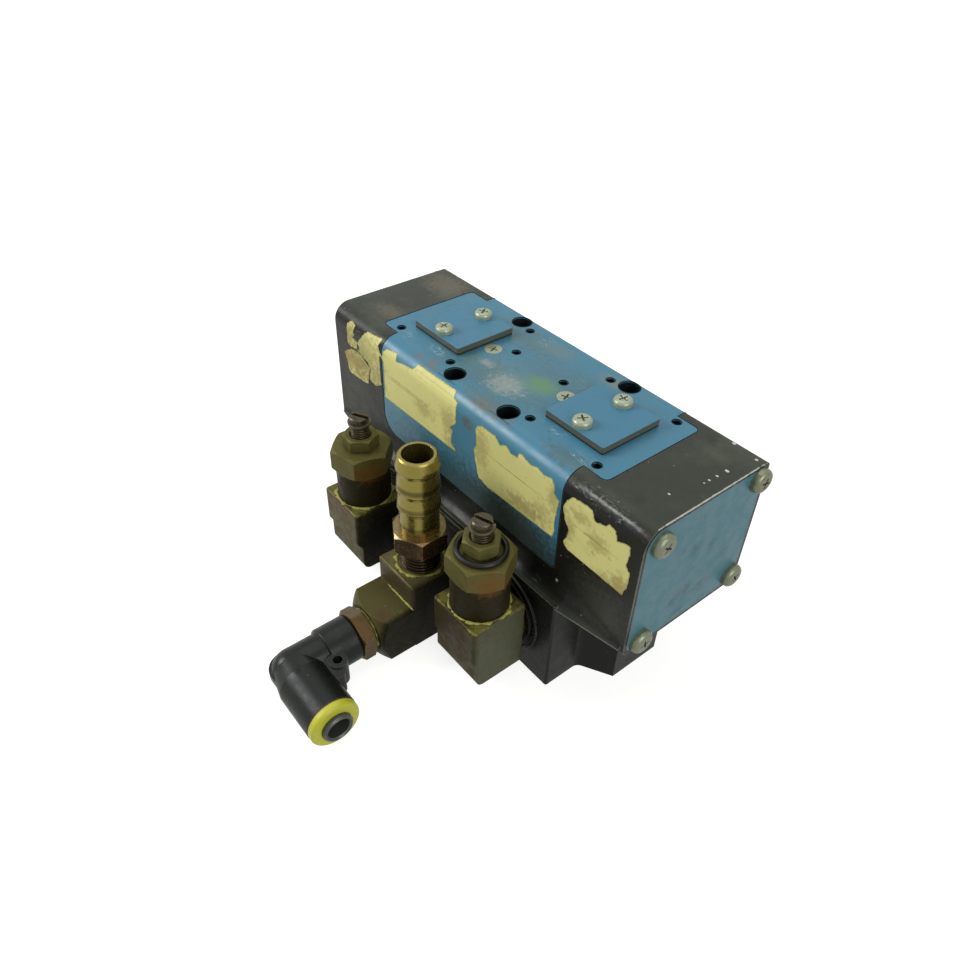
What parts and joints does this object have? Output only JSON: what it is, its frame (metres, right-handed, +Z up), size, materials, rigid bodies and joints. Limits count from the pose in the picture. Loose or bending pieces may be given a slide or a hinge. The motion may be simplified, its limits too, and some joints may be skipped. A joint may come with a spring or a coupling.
{
  "type": "directional control valve",
  "caption": "Air-piloted directional control valve with a black casting, blue covers, metered exhaust elbows and an inlet tee with a hose barb and a push-in elbow.",
  "frame": {"origin": "centre of the port block's bottom face", "axes": "+X along the spool towards the right-hand end seen from the inlet side, -Y out of the face with the inlet and the exhausts, +Z up through the blue cover"},
  "size_m": [0.207, 0.1767, 0.1153],
  "materials": {
    "black_paint": "worn black enamel on a casting",
    "blue_paint": "worn blue enamel",
    "zinc_screw": "zinc plated",
    "sleeve_aluminium": "turned",
    "black_rubber": "nitrile",
    "spring_steel": "oiled",
    "spool_steel": "lapped",
    "aged_brass": "aged brass",
    "barb_brass": "dull brass",
    "stem_brass": "aged brass",
    "screw_steel": "aged steel",
    "grey_plastic": "moulded",
    "copper_trim": "copper trim",
    "lime_plastic": "moulded",
    "dark_plastic": "moulded"
  },
  "bodies": {
    "valve": {"valve_body": "black_paint", "top_cover": "blue_paint", "cover_screws": "zinc_screw", "blanking_screws": "zinc_screw", "spool_sleeve": "sleeve_aluminium", "sleeve_seals": "black_rubber", "sleeve_retaining_rings": "spring_steel", "loose_o_ring": "black_rubber", "street_tee": "aged_brass", "hose_barb": "barb_brass", "push_in_stem": "stem_brass", "swivel_seal": "black_rubber", "left_blanking_gasket": "black_rubber", "left_blanking_plate": "blue_paint", "left_end_gasket": "black_rubber", "left_end_plate": "blue_paint", "left_end_plate_screws": "zinc_screw", "left_street_elbow": "aged_brass", "left_flow_control_body": "aged_brass", "left_gland_nut": "aged_brass", "left_stem_seal": "black_rubber", "right_blanking_gasket": "black_rubber", "right_blanking_plate": "blue_paint", "right_end_gasket": "black_rubber", "right_end_plate": "blue_paint", "right_end_plate_screws": "zinc_screw", "right_street_elbow": "aged_brass", "right_flow_control_body": "aged_brass", "right_gland_nut": "aged_brass", "right_stem_seal": "black_rubber"},
    "spool_and_pistons": {"spool": "spool_steel", "left_piston": "sleeve_aluminium", "left_piston_seal": "black_rubber", "right_piston": "sleeve_aluminium", "right_piston_seal": "black_rubber"},
    "push_elbow": {"push_in_elbow": "grey_plastic", "tube_seal": "black_rubber", "copper_ring": "copper_trim", "collar_ring": "lime_plastic"},
    "push_release": {"release_sleeve": "dark_plastic"},
    "left_poppet": {"left_metering_poppet": "aged_brass"},
    "left_screw": {"left_adjusting_screw": "screw_steel", "left_snap_ring": "spring_steel"},
    "right_poppet": {"right_metering_poppet": "aged_brass"},
    "right_screw": {"right_adjusting_screw": "screw_steel", "right_snap_ring": "spring_steel"}
  },
  "joints": [
    {"name": "spool_slide", "type": "slide", "parent": "valve", "child": "spool_and_pistons", "axis": [1, 0, 0], "range_m": [0, 0.01]},
    {"name": "push_elbow_swivel", "type": "hinge", "parent": "valve", "child": "push_elbow", "pos_m": [0.004, -0.105, 0.01235], "axis": [0, 1, 0], "continuous": true},
    {"name": "release_sleeve_press", "type": "slide", "parent": "push_elbow", "child": "push_release", "axis": [-1, 0, 0], "range_m": [0, 0.001], "stiffness_N_per_m": 900, "springref_m": -0.0008},
    {"name": "left_metering_lift", "type": "slide", "parent": "valve", "child": "left_poppet", "axis": [0, 0, 1], "range_m": [-0.0031, 0.0037]},
    {"name": "left_metering_turn", "type": "hinge", "parent": "left_poppet", "child": "left_screw", "pos_m": [-0.043, -0.0574, 0.08], "axis": [0, 0, 1], "range_deg": [-900, 1080]},
    {"name": "right_metering_lift", "type": "slide", "parent": "valve", "child": "right_poppet", "axis": [0, 0, 1], "range_m": [-0.0031, 0.0037]},
    {"name": "right_metering_turn", "type": "hinge", "parent": "right_poppet", "child": "right_screw", "pos_m": [0.043, -0.0574, 0.08], "axis": [0, 0, 1], "range_deg": [-900, 1080]}
  ],
  "couplings": [
    {"joint": "left_metering_turn", "follows": "left_metering_lift", "rad_per_m": 5026.5},
    {"joint": "right_metering_turn", "follows": "right_metering_lift", "rad_per_m": 5026.5}
  ]
}
